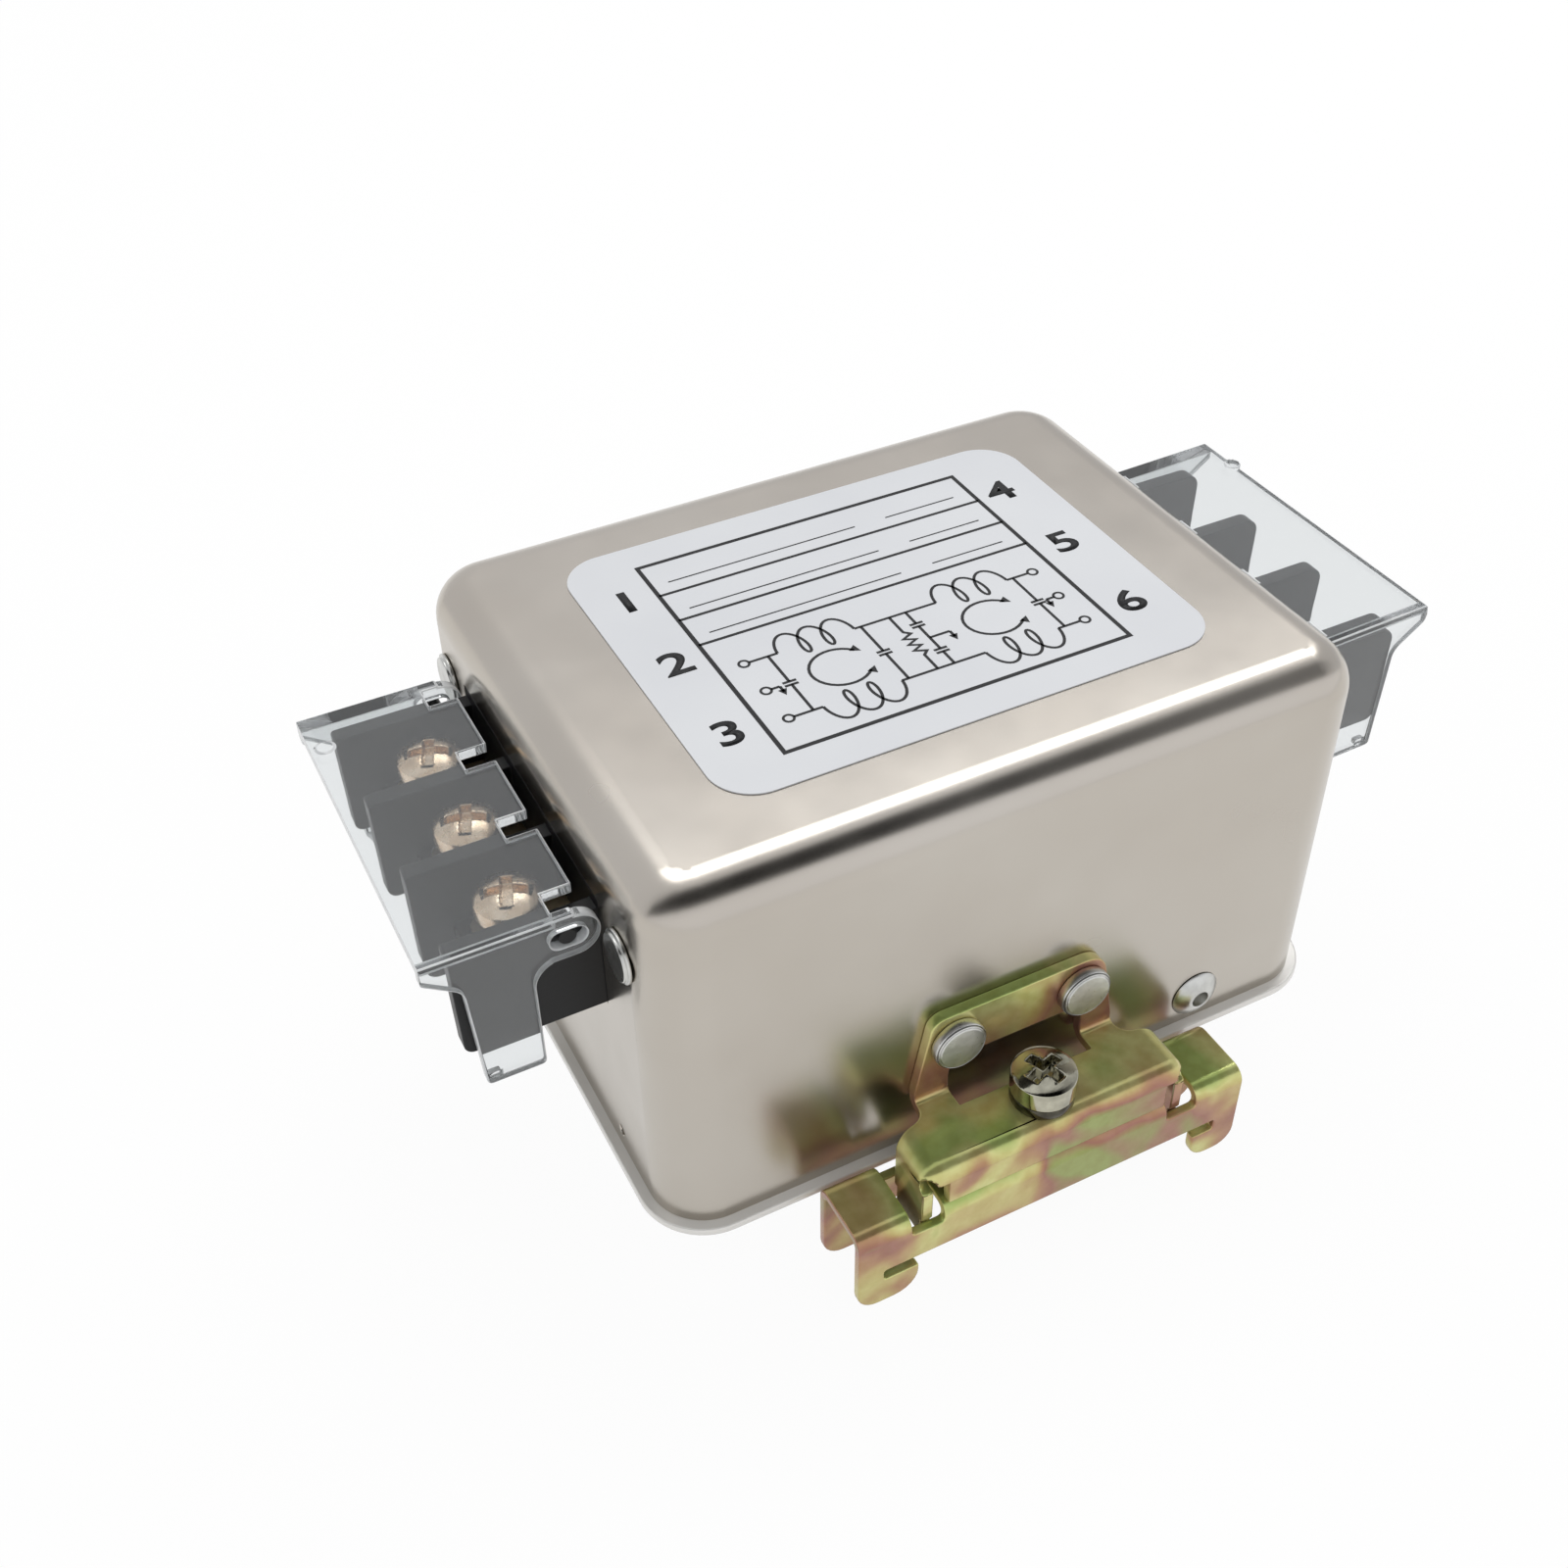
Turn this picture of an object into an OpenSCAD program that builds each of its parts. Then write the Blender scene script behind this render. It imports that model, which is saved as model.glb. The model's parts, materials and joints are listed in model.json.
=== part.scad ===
// Two-stage EMI line filter: a drawn steel can, a barrier block with a hinged clear cover at each
// end, and on each long side a riveted bracket that carries a stamped clip for a 35 mm rail.
// The origin is on the surface that the clips' hooks stand on, under the middle of the can.

/* [Can] */
// Length of the can
can_l = 74.6; // [60:0.2:100]
// Width of the can
can_w = 58.2; // [50:0.2:80]
// Height of the can above the underside of its base plate
can_h = 42.3; // [40:0.1:55]
// Radius of the upright corners
corner_r = 5.8; // [5:0.1:7]
// Radius of the drawn top edge
edge_r = 4.6; // [3:0.1:4.8]
// Sheet thickness of the can
can_t = 0.6; // [0.5:0.05:1]

/* [Base plate] */
// Thickness of the base plate
base_t = 0.9; // [0.6:0.1:1.5]
// How far its rim stands out past the can
rim = 1.1; // [0.5:0.1:2]
// Distance of the blind rivets from the middle of the long sides
base_rivet_x = 21.6; // [15:0.1:25]
// Height of the blind rivets above the underside of the base plate
base_rivet_z = 4.5; // [4:0.1:6]

/* [Rating label] */
// Length of the label
label_l = 52; // [40:0.2:60]
// Width of the label
label_w = 40.2; // [30:0.2:44]
// Thickness of the label
label_t = 0.15; // [0.1:0.05:0.5]
// Radius of its corners
label_r = 4.5; // [1:0.5:8]

/* [Terminal blocks] */
// Distance from one terminal to the next
pitch = 10.7; // [8.8:0.1:12.9]
// Thickness of a barrier wall
barrier_t = 1.8; // [1:0.1:2]
// How far the barrier walls reach out from the can
barrier_reach = 13.8; // [12:0.1:18]
// How far the body under the terminals reaches out from the can
body_reach = 10.2; // [9.8:0.1:12]
// Depth of the barrier tops below the top of the can
barrier_drop = 8.8; // [7.6:0.1:11]
// Depth of the terminal bays between the barriers
bay_depth = 7.1; // [4:0.1:8]
// Height of the body under the bays
body_h = 4.8; // [4:0.1:7]
// Clearance between the cover and the middle of the block rivets
rivet_clear = 3.45; // [3.2:0.05:4]

/* [Terminals] */
// Width of a terminal strip
strip_w = 6.6; // [5.6:0.1:7]
// Thickness of a terminal strip
strip_t = 1; // [0.6:0.1:1.4]
// Thread diameter of the terminal screws
screw_d = 3.5; // [3:0.5:4]
// Head diameter of the terminal screws
screw_head_d = 6.3; // [5.5:0.1:7]
// Distance of the terminal screws from the can end
screw_reach = 6.1; // [5.8:0.1:6.6]
// How far the screws at the line end are backed out
screw_out = 2.9; // [0:0.1:3.4]

/* [Covers] */
// Wall thickness of the clear cover
cover_t = 1.2; // [1:0.1:1.6]
// How far the cover reaches out from the can
cover_reach = 16.5; // [15:0.1:20]
// Distance of the hinge axis from the can end
hinge_reach = 3.3; // [3.2:0.1:4]
// Depth of the hinge axis below the barrier tops
hinge_drop = 0.7; // [0.5:0.1:1]
// Diameter of the hinge pegs
peg_d = 1.7; // [1.4:0.1:2]
// Length of the oblong hinge slot
slot_l = 3.4; // [2.6:0.1:3.6]
// How far the arm tips reach below the block
arm_drop = 3.1; // [2:0.1:5]

/* [Rail clips] */
// Width of the rail that the clips hold
rail_w = 35; // [30:0.5:40]
// Thickness of the edge that the hooks grip
rail_edge = 1; // [1:0.1:1.2]
// Gap between the rail's top and the underside of the base plate
rail_gap = 2.9; // [2:0.1:4]
// Width of a clip across its two flanges
clip_depth = 7.8; // [6.4:0.1:10]
// Sheet thickness of a clip
clip_t = 1; // [0.8:0.1:1.2]
// Height of a clip's web above the underside of the base plate
clip_rise = 3; // [2.4:0.1:4]
// Gap between the rim of the base plate and the clip
clip_gap = 1; // [0.6:0.1:2]
// Height of the hooks below the rail's top
hook_drop = 4.7; // [4:0.1:6]
// Depth of the slots at the spring side
deep_slot = 3.8; // [3.2:0.1:5]
// Depth of the slots at the fixed side
shallow_slot = 2.5; // [2:0.1:3]
// Width of the metal outside a slot
hook_w = 2.8; // [2.4:0.1:4]

/* [Brackets] */
// Sheet thickness of a bracket
bracket_t = 1.2; // [1:0.1:1.6]
// Height of the shelf above the underside of the base plate
shelf_z = 7.8; // [7:0.1:9]
// Height of the top of the riveted plate
plate_top = 18; // [16.8:0.1:22]
// Distance between the bracket rivets
rivet_pitch = 14; // [12:0.5:16]
// Width over the two legs that enter the clip
leg_span = 29.6; // [27:0.1:32]
// Width of the front lip
lip_w = 24.5; // [20:0.5:25]
// Thread diameter of the clip screw
clip_screw_d = 4; // [3:0.5:4]

/* [Inside] */
// Outer diameter of a choke core
core_od = 19.4; // [16:0.2:20]
// Height of a choke core
core_h = 10; // [7:0.5:12]
// Wire diameter of the choke windings
wire_d = 1.3; // [1:0.1:1.5]
// Turns in one winding
turns = 7; // [5:1:8]
// Thickness of the circuit board
board_t = 1.6; // [1:0.1:2]
// Height of the board supports
support_h = 7; // [6.6:0.1:9]

/* [Hidden] */
$fn = 64;
ways = 3;
e = 0.01;
fit = 0.05;

// Heights
base_z = rail_gap + hook_drop;
board_z = base_t + support_h;
part_z = board_z + board_t;

// Sides of the can that the brackets stand on
side_y = can_w / 2;
base_r = corner_r + rim;

// Block
barrier_top = can_h - barrier_drop;
bay_floor = barrier_top - bay_depth;
block_low = bay_floor - body_h;
block_w = ways * pitch + barrier_t;
flange_t = 1.5;
flange_gap = 0.15;
flange_low = block_low - 1.4;
cutout_gap = 0.1;
back_top = barrier_top + 1;
flange_top = back_top + 1.2;
block_rivet_z = barrier_top - 1.2;
pocket_h = body_h / 2;
pocket_in = 1.4;
pocket_wall = 0.9;
pocket_end = screw_reach - screw_d / 2 - 0.6;
strip_end = screw_reach + screw_head_d / 2;
tag_reach = 5.6;
tag_w = 4;
lead_d = 1.8;
lead_reach = -can_t - 3.4;

// Cover
cover_gap = 0.3;
lid_gap = 0.6;
arm_low = block_low - arm_drop;
hinge_z = barrier_top - hinge_drop;
lid_low = barrier_top + lid_gap;
lid_top = lid_low + cover_t;
// The lid's inner edge clears the can when the cover turns
tab_reach = hinge_reach - sqrt(pow(hinge_reach - 0.15, 2) - pow(lid_top - hinge_z, 2));
cover_in = block_w / 2 + cover_gap;
cover_w = 2 * (cover_in + cover_t);
block_rivet_y = cover_w / 2 + rivet_clear;
flange_w = 2 * (block_rivet_y + 2.2);
notch_end = hinge_reach + hinge_drop + 0.3;
notch_w = barrier_t + 2 * 0.45;
lip_drop = 0.9;
arm_in = hinge_reach + 3.4;
arm_out = barrier_reach - 0.7;
ear_shift = 0.7;
ear_r = hinge_reach - 2 * cover_gap - ear_shift + 0.3;

// Rail clip: the rail's middle lies under the can's middle
slot_h = rail_edge + 0.3;
rail_play = 0.3;
fixed_x = rail_w / 2 + rail_play;
fixed_tip = fixed_x - shallow_slot;
spring_x = -rail_w / 2 - deep_slot + 0.9;
spring_tip = spring_x + deep_slot;
clip_x0 = spring_x - hook_w;
clip_x1 = fixed_x + hook_w;
clip_x = (clip_x0 + clip_x1) / 2;
clip_y = side_y + rim + clip_gap + clip_depth / 2;
hook_low = -rail_gap - hook_drop;
bend_r = 0.6;

// Bracket
shelf_low = shelf_z - bracket_t;
shelf_out = clip_y + clip_depth / 2 - 0.2;
plate_half = rivet_pitch / 2 + 4.2;
plate_head = rivet_pitch / 2 + 2.5;
rivet_head_d = 5.5;
rivet_head_h = 1.3;
rivet_z = plate_top - 3.4;
window_w = rivet_pitch + 1;
window_top = rivet_z - rivet_head_d / 2;
leg_w = clip_depth - 2 * clip_t - 0.4;
leg_y = clip_y + 0.4;
leg_tip = -1.2;
notch_in = leg_span / 2 - bracket_t - 0.9;
notch_out = leg_span / 2 + 1.4;
notch_low = clip_rise - 2.2;
leg_low = notch_low + 0.1;
clip_head_d = 6.4;
clip_head_h = 2.9;
washer_t = 1.1;

// Choke
core_id = core_od - 9;
core_mid = (core_od + core_id) / 4;
wrap = wire_d / 2 + 0.15;
choke_x = can_l / 2 - 23.4;
choke_z = part_z + wire_d + 0.2;
wire_sides = 6;
turn_rings = 14;

// Puts its children at the load end of the can, with x counted outward from the can end
module at_load_end() {
    translate([can_l / 2, 0, base_z]) children();
}

module at_line_end() {
    mirror([1, 0, 0]) at_load_end() children();
}

module at_front() {
    translate([0, 0, base_z]) children();
}

module at_rear() {
    mirror([0, 1, 0]) at_front() children();
}

// Extrudes a profile drawn in y and z along x, over the span a to b
module along_x(a, b) {
    translate([a, 0, 0]) rotate([90, 0, 90]) linear_extrude(b - a) children();
}

// Extrudes a profile drawn in x and z along y, over the span a to b
module along_y(a, b) {
    translate([0, b, 0]) rotate([90, 0, 0]) linear_extrude(b - a) children();
}

module round_rect(l, w, r) {
    square([l - 2 * r, w], center = true);
    square([l, w - 2 * r], center = true);
    for (sx = [-1, 1], sy = [-1, 1])
        translate([sx * (l / 2 - r), sy * (w / 2 - r)]) circle(r);
}

// Quarter ring that a bent sheet has in section, from the +x axis to the +y axis
module bend(ri, t) {
    intersection() {
        difference() {
            circle(ri + t);
            circle(ri);
        }
        square(ri + t + e);
    }
}

// An outline with each corner rounded to its own radius; points run anticlockwise
function unit(v) = v / norm(v);
function corner_arc(a, p, b, r, steps) =
    r <= 0 ? [p] :
    let (
        u = unit(a - p),
        v = unit(b - p),
        half = acos(u * v) / 2,
        mid = p + unit(u + v) * (r / sin(half)),
        start = p + u * (r / tan(half)) - mid,
        turn = sign(u[1] * v[0] - u[0] * v[1]) * (180 - 2 * half)
    )
    [for (i = [0:steps])
        let (t = turn * i / steps)
        mid + [start[0] * cos(t) - start[1] * sin(t), start[0] * sin(t) + start[1] * cos(t)]];
function soften(points, radii, steps = 6) = [
    for (i = [0:len(points) - 1])
        let (n = len(points))
        for (q = corner_arc(points[(i + n - 1) % n], points[i], points[(i + 1) % n], radii[i], steps)) q
];

// A drawn shell's outer form: upright corners of radius rc, top edge of radius rt
module arch(w, h, r) {
    translate([-w / 2, 0]) square([w, h - r]);
    translate([r - w / 2, 0]) square([w - 2 * r, h]);
    for (s = [-1, 1]) translate([s * (w / 2 - r), h - r]) circle(r);
}

module drawn_form(l, w, h, rc, rt) {
    for (sx = [-1, 1], sy = [-1, 1])
        translate([sx * (l / 2 - rc), sy * (w / 2 - rc), 0]) rotate_extrude() {
            square([rc, h - rt]);
            square([rc - rt, h]);
            translate([rc - rt, h - rt]) intersection() {
                circle(rt);
                translate([0, -rt]) square([rt, 2 * rt]);
            }
        }
    along_x(-(l / 2 - rc), l / 2 - rc) arch(w, h, rt);
    along_y(-(w / 2 - rc), w / 2 - rc) arch(l, h, rt);
}

module block_opening(grow) {
    translate([-flange_t - can_t - e, -block_w / 2 - grow, block_low - grow])
        cube([flange_t + can_t + 2 * e, block_w + 2 * grow, back_top - block_low + 2 * grow]);
}

module for_block_rivets() {
    for (s = [-1, 1]) translate([0, s * block_rivet_y, block_rivet_z]) rotate([0, 90, 0]) children();
}

module for_bracket_rivets() {
    for (s = [-1, 1])
        translate([clip_x + s * rivet_pitch / 2, -side_y, rivet_z]) rotate([90, 0, 0]) children();
}

module for_base_rivets() {
    for (a = [0, 180])
        rotate([0, 0, a]) translate([base_rivet_x, -side_y, base_rivet_z]) rotate([90, 0, 0]) children();
}

rivet_d = 3;
base_rivet_d = 3.2;
pilot_d = 1.2;
pilot_y = -17;
pilot_z = 3.4;

module can() {
    color("#bdb7ae") difference() {
        translate([0, 0, base_z + base_t])
            drawn_form(can_l, can_w, can_h - base_t, corner_r, edge_r);
        translate([0, 0, base_z + base_t - can_t]) drawn_form(
            can_l - 2 * can_t, can_w - 2 * can_t, can_h - base_t,
            corner_r - can_t, edge_r - can_t);
        at_load_end() block_opening(cutout_gap);
        at_line_end() block_opening(cutout_gap);
        at_load_end() for_block_rivets() cylinder(d = rivet_d + 2 * fit, h = 4, center = true);
        at_line_end() for_block_rivets() cylinder(d = rivet_d + 2 * fit, h = 4, center = true);
        at_front() for_bracket_rivets() cylinder(d = rivet_d + 2 * fit, h = 4, center = true);
        at_rear() for_bracket_rivets() cylinder(d = rivet_d + 2 * fit, h = 4, center = true);
        at_front() for_base_rivets() cylinder(d = base_rivet_d + 2 * fit, h = 4, center = true);
        at_line_end() translate([0, pilot_y, pilot_z]) rotate([0, 90, 0])
            cylinder(d = pilot_d, h = 4, center = true);
    }
}

// Lug that is turned up from the base plate inside the can for a blind rivet
lug_w = 9;
lug_h = base_rivet_z + 2.4;
lug_y = side_y - can_t - fit;

module base_plate() {
    color("#cfcbc4") translate([0, 0, base_z]) {
        linear_extrude(base_t) round_rect(can_l + 2 * rim, can_w + 2 * rim, base_r);
        difference() {
            for (a = [0, 180]) rotate([0, 0, a])
                translate([base_rivet_x - lug_w / 2, -lug_y, base_t - e]) cube([lug_w, base_t, lug_h]);
            for_base_rivets() cylinder(d = base_rivet_d + 2 * fit, h = 6, center = true);
        }
    }
}

// Blind rivet: domed flange with the mandrel hole outside, swelled end inside
module blind_rivet(grip) {
    head_d = 6;
    head_h = 1.2;
    hole_d = 1.9;
    tail = 1.2;
    rotate_extrude() difference() {
        union() {
            translate([0, -grip - tail]) square([2.2, tail - fit]);
            translate([0, -grip - tail]) square([base_rivet_d / 2, grip + tail + head_h / 2]);
            intersection() {
                translate([0, fit]) square([head_d / 2, head_h - fit]);
                translate([0, head_h - 4]) circle(4);
            }
        }
        translate([0, -0.4]) square([hole_d / 2, head_h + 1]);
    }
}

module base_rivets() {
    color("#c8c8c6") at_front() {
        for_base_rivets() blind_rivet(can_t + fit + base_t);
    }
}

module rating_label() {
    color("#d3d6da") translate([0.4, 0.6, base_z + can_h]) linear_extrude(label_t)
        round_rect(label_l, label_w, label_r);
}

// Barrier wall seen from the side: square at the can, its outer top corner rounded to r
module barrier_side(r) {
    polygon(soften(
        [[-can_t - e, block_low], [barrier_reach - 0.3, block_low],
            [barrier_reach, barrier_top], [-can_t - e, barrier_top]],
        [0, 1, r, 0]));
}

// Body under the terminals, with a sunk step at its foot where the wires are led off
module body_side() {
    polygon(soften(
        [[-can_t - e, block_low], [body_reach - 1.2, block_low], [body_reach, bay_floor - body_h / 2],
            [body_reach, bay_floor], [-can_t - e, bay_floor]],
        [0, 1, 0.5, 0.6, 0]));
}

module strip_outline() {
    end_r = 1.2;
    translate([-can_t - flange_t - e, -strip_w / 2])
        square([strip_end + can_t + flange_t - end_r + e, strip_w]);
    translate([strip_end - 2 * end_r, end_r - strip_w / 2]) square([2 * end_r, strip_w - 2 * end_r]);
    for (s = [-1, 1]) translate([strip_end - end_r, s * (strip_w / 2 - end_r)]) circle(end_r);
    translate([-can_t - tag_reach, -tag_w / 2]) square([tag_reach - flange_t + 2 * e, tag_w]);
}

module block(corner) {
    difference() {
        union() {
            along_y(-block_w / 2 + barrier_t / 2, block_w / 2 - barrier_t / 2) body_side();
            for (i = [0:ways])
                let (y = (i - ways / 2) * pitch)
                    along_y(y - barrier_t / 2, y + barrier_t / 2) barrier_side(corner);
            translate([-can_t - flange_t, -block_w / 2, block_low])
                cube([can_t + flange_t, block_w, back_top - block_low]);
            translate([-can_t - flange_t, -flange_w / 2, flange_low])
                cube([flange_t - flange_gap, flange_w, flange_top - flange_low]);
            for (s = [-1, 1])
                translate([hinge_reach, s * (block_w / 2 - e), hinge_z]) rotate([-s * 90, 0, 0])
                    cylinder(d = peg_d, h = cover_gap + cover_t - 0.2);
        }
        for_block_rivets() cylinder(d = rivet_d + 2 * fit, h = 12, center = true);
        for (i = [0:ways - 1]) translate([0, (i - (ways - 1) / 2) * pitch, 0]) {
            translate([-can_t - flange_t - 1, -strip_w / 2 - fit, bay_floor])
                cube([can_t + flange_t + 1.5, strip_w + 2 * fit, strip_t + fit]);
            translate([screw_reach, 0, block_low - e]) cylinder(d = screw_d + 2 * fit, h = body_h + 2 * e);
            translate([pocket_in, barrier_t / 2 + pocket_wall - pitch / 2, block_low - e])
                cube([pocket_end - pocket_in, pitch - barrier_t - 2 * pocket_wall, pocket_h]);
        }
    }
}

module line_block() {
    color("#1e1e1e") at_line_end() block(0.4);
}

module load_block() {
    color("#1e1e1e") at_load_end() block(1.6);
}

// Tubular rivet with a rolled head at each side of the joined sheets
module tube_rivet(grip, head_d, head_h) {
    rotate_extrude() difference() {
        union() {
            translate([0, fit]) square([head_d / 2 - 0.3, head_h - fit]);
            translate([0, fit]) square([head_d / 2, head_h - fit - 0.3]);
            translate([0, -grip - fit - 0.8]) square([rivet_d / 2, grip + fit + 0.8 + head_h / 2]);
            translate([0, -grip - fit - 0.8]) square([rivet_d / 2 + 0.8, 0.8]);
        }
        translate([0, -grip - 1]) square([rivet_d / 2 - 0.7, grip + 1 + head_h / 2]);
    }
}

module block_rivets() {
    for_block_rivets() tube_rivet(can_t + flange_t, 5.2, 0.7);
}

module line_block_rivets() {
    color("#c4c4c2") at_line_end() block_rivets();
}

module load_block_rivets() {
    color("#c4c4c2") at_load_end() block_rivets();
}

module terminal(i) {
    translate([0, (i - (ways + 1) / 2) * pitch, bay_floor]) difference() {
        linear_extrude(strip_t) strip_outline();
        translate([screw_reach, 0, -e]) cylinder(d = screw_d + 2 * fit, h = strip_t + 2 * e);
        translate([lead_reach, 0, -e]) cylinder(d = lead_d + 2 * fit, h = strip_t + 2 * e);
    }
}

// Pan head with a cross recess, standing on z = 0 with its shank below
module pan_screw(d, head_d, head_h, shank, dome) {
    recess_w = head_d / 6;
    recess_l = head_d * 0.6;
    recess_h = head_h * 0.55;
    difference() {
        rotate_extrude() {
            translate([0, -shank]) square([d / 2, shank + e]);
            intersection() {
                square([head_d / 2, head_h]);
                translate([0, head_h - dome]) circle(dome);
            }
        }
        for (a = [0, 90]) rotate([0, 0, a + 20]) translate([-recess_l / 2, -recess_w / 2, head_h - recess_h])
            cube([recess_l, recess_w, recess_h + e]);
    }
}

module terminal_screw(i, out) {
    translate([screw_reach, (i - (ways + 1) / 2) * pitch, bay_floor + strip_t + out])
        pan_screw(screw_d, screw_head_d, 2.5, body_h + 0.6, 0.9 * screw_head_d);
}

module line_terminal(i) {
    color("#d8c9a0") at_line_end() terminal(i);
}

module load_terminal(i) {
    color("#d8c9a0") at_load_end() terminal(i);
}

module line_screw(i) {
    color("#c9ad80") at_line_end() terminal_screw(i, screw_out);
}

module load_screw(i) {
    color("#c9ad80") at_load_end() terminal_screw(i, 0);
}

// Side cheek of the cover: lip under the lid, hinge ear and the arm down to its tip
module cheek_outline() {
    ear_x = hinge_reach - ear_shift;
    polygon(soften(
        [[ear_x, hinge_z - ear_r], [arm_in, hinge_z - ear_r], [arm_in, arm_low], [arm_out - 0.8, arm_low],
            [arm_out, lid_low - lip_drop - 2.4], [cover_reach, lid_low - lip_drop], [cover_reach, lid_top],
            [ear_x, lid_top]],
        [0, 0, 0.5, 0.5, 1.8, 0.3, 0.2, 0]));
    translate([ear_x, hinge_z]) circle(ear_r);
    translate([ear_x, hinge_z]) square([ear_r, lid_top - hinge_z]);
    translate([arm_in, hinge_z - ear_r]) difference() {
        translate([-arm_in + ear_x + ear_r, -arm_fillet]) square([arm_in - ear_x - ear_r, arm_fillet]);
        translate([-arm_fillet, -arm_fillet]) circle(arm_fillet);
        translate([-arm_in, -arm_fillet - e]) square([arm_in - arm_fillet, arm_fillet + e]);
    }
}

arm_fillet = 2.4;

// The load end's cover has slid out in its slots and stands a little open
cover_slide = (slot_l - peg_d) / 2 - 0.45;
cover_tilt = 1.5;

module hinge_slot() {
    slot_r = peg_d / 2 + 0.06;
    for (s = [-1, 1]) translate([hinge_reach + s * (slot_l / 2 - slot_r), hinge_z]) circle(slot_r);
    translate([hinge_reach - slot_l / 2 + slot_r, hinge_z - slot_r]) square([slot_l - 2 * slot_r, 2 * slot_r]);
}

module cover(nub_x) {
    nub_y = 13.2;
    catch_h = 0.7;
    // The catch turns past the barriers' lower corners
    catch_turn = norm([barrier_reach - hinge_reach, hinge_z - block_low]) + 0.2;
    catch_x = hinge_reach + sqrt(pow(catch_turn, 2) - pow(hinge_z - arm_low - catch_h, 2));
    difference() {
        union() {
            translate([tab_reach, -cover_w / 2 + e, lid_low])
                cube([cover_reach - tab_reach, cover_w - 2 * e, cover_t]);
            translate([nub_x, nub_y, lid_low]) cylinder(r = 0.9, h = cover_t + 0.15);
        }
        for (i = [0:ways])
            translate([tab_reach - e, (i - ways / 2) * pitch - notch_w / 2, lid_low - e])
                cube([notch_end - tab_reach + e, notch_w, cover_t + 2 * e]);
        for (s = [-1, 1])
            translate([-e, s > 0 ? block_w / 2 - e : -cover_w / 2, lid_low - e])
                cube([notch_end + e, cover_w / 2 - block_w / 2 + e, cover_t + 2 * e]);
    }
    for (s = [0, 1]) mirror([0, s, 0]) {
        difference() {
            along_y(cover_in, cover_in + cover_t) cheek_outline();
            along_y(cover_in - 1, cover_in + cover_t + 1) hinge_slot();
        }
        intersection() {
            translate([catch_x, cover_in - 0.7, arm_low]) cube([1.2, 0.7 + e, catch_h]);
            along_y(cover_in - 1, cover_in + 1) cheek_outline();
        }
    }
}

module line_cover() {
    color([0.86, 0.9, 0.92, 0.45]) at_line_end() cover(cover_reach - 1.4);
}

module load_cover() {
    color([0.86, 0.9, 0.92, 0.45]) at_load_end() translate([hinge_reach, 0, hinge_z])
        rotate([0, -cover_tilt, 0]) translate([cover_slide - hinge_reach, 0, -hinge_z])
            cover(cover_reach - 0.2);
}

// Plan of the bracket's shelf, from the neck at the plate out to the legs
module flare() {
    neck_y = -side_y - bracket_t - bend_r - 1.2;
    wide = leg_span / 2 + 1;
    translate([clip_x, 0, leg_tip - 1]) linear_extrude(shelf_z - leg_tip + 2) polygon(soften(
        [[-plate_half, -side_y], [-plate_half, neck_y], [-wide, -leg_y + leg_w / 2 - 0.5], [-wide, -shelf_out],
            [wide, -shelf_out], [wide, -leg_y + leg_w / 2 - 0.5], [plate_half, neck_y], [plate_half, -side_y]],
        [0, 1.6, 0, 0, 0, 0, 1.6, 0]));
}

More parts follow.
